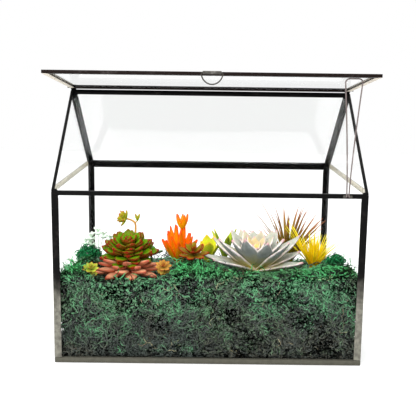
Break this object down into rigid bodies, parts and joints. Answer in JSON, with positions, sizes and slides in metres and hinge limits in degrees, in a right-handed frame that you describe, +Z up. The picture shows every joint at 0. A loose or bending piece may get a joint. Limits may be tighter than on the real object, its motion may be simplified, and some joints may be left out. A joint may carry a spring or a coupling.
{
  "type": "planted terrarium",
  "caption": "House-shaped glass terrarium with folded metal edges, a swinging roof lid on a wire stay, and succulents planted in a bed of moss.",
  "frame": {"origin": "middle of the flat underside of the base pane, which is where the terrarium stands", "axes": "+Z up, +X to the right of the front along the roof ridge, +Y from the front with the lid towards the back"},
  "size_m": [0.26, 0.2288, 0.2397],
  "materials": {
    "patina_metal": "dark gunmetal patina with worn lighter edges",
    "ring_metal": "dark patina wire",
    "stay_metal": "dark patina wire, bright where it turns in the knuckles",
    "clear_glass": "clear float glass",
    "moss": "dense preserved moss, bright green above and dark below",
    "dark_moss": "dark green curled moss",
    "grey_leaf": "fleshy leaf with a waxy bloom, pink edge and cream base",
    "green_leaf": "fleshy green leaf with a maroon edge",
    "pink_leaf": "fleshy salmon pink leaf",
    "red_leaf": "fleshy red leaf with a green middle",
    "lime_leaf": "fleshy yellow-green leaf",
    "amber_leaf": "fleshy amber leaf",
    "flame_leaf": "fleshy orange leaf, yellow at the base",
    "yellow_green_leaf": "glossy yellow-green leaf",
    "tip_leaf": "pointed green leaf",
    "air_leaf": "narrow olive leaf with a coppery red end",
    "yellow_grass": "narrow bright yellow blade",
    "pale_floret": "small pale mint floret on a thin stem",
    "dark_leaf": "glossy dark green leaf"
  },
  "bodies": {
    "house": {"air_plant": "air_leaf", "base_pane": "clear_glass", "base_strip_back": "patina_metal", "base_strip_front": "patina_metal", "base_strip_left": "patina_metal", "base_strip_right": "patina_metal", "broad_leaf_plant": "yellow_green_leaf", "dark_leaf": "dark_leaf", "eave_back": "patina_metal", "eave_front": "patina_metal", "stay_knuckle_left": "patina_metal", "stay_knuckle_right": "patina_metal", "eave_left": "patina_metal", "eave_right": "patina_metal", "finger_plant": "flame_leaf", "grass_tuft": "yellow_grass", "green_rosette": "green_leaf", "green_tips": "tip_leaf", "grey_rosette": "grey_leaf", "hinge_pin": "patina_metal", "moss_bed": "moss", "moss_mound": "dark_moss", "moss_tuft": "dark_moss", "offset_left": "lime_leaf", "offset_right": "amber_leaf", "pale_sprig": "pale_floret", "pane_back": "clear_glass", "pane_front": "clear_glass", "pane_gable_left": "clear_glass", "pane_gable_right": "clear_glass", "pane_roof_back": "clear_glass", "pane_wall_left": "clear_glass", "pane_wall_right": "clear_glass", "pink_skirt": "pink_leaf", "post_back_left": "patina_metal", "post_back_right": "patina_metal", "post_front_left": "patina_metal", "post_front_right": "patina_metal", "rafter_back_left": "patina_metal", "rafter_back_right": "patina_metal", "rafter_front_left": "patina_metal", "rafter_front_right": "patina_metal", "ridge_strip": "patina_metal", "small_red_rosette": "red_leaf"},
    "lid": {"lid_pane": "clear_glass", "lid_strip_front": "patina_metal", "lid_strip_hinge": "patina_metal", "lid_strip_left": "patina_metal", "lid_strip_right": "patina_metal", "pull_bracket": "patina_metal"},
    "pull": {"pull_ring": "ring_metal"},
    "stay": {"stay_wire": "stay_metal"}
  },
  "joints": [
    {"name": "lid_hinge", "type": "hinge", "parent": "house", "child": "lid", "pos_m": [0, 0, 0.2241], "axis": [1, 0, 0], "range_deg": [0, 44.15]},
    {"name": "pull_swing", "type": "hinge", "parent": "lid", "child": "pull", "pos_m": [0, -0.1275, 0.23845], "axis": [1, 0, 0], "range_deg": [-44.2, 0]},
    {"name": "stay_swing", "type": "hinge", "parent": "house", "child": "stay", "pos_m": [0.1098, -0.1015, 0.1422], "axis": [1, 0, 0], "range_deg": [0, 164.6]}
  ],
  "couplings": [
    {"joint": "pull_swing", "follows": "lid_hinge", "ratio": -1},
    {"joint": "stay_swing", "follows": "lid_hinge", "ratio": 3.726}
  ]
}
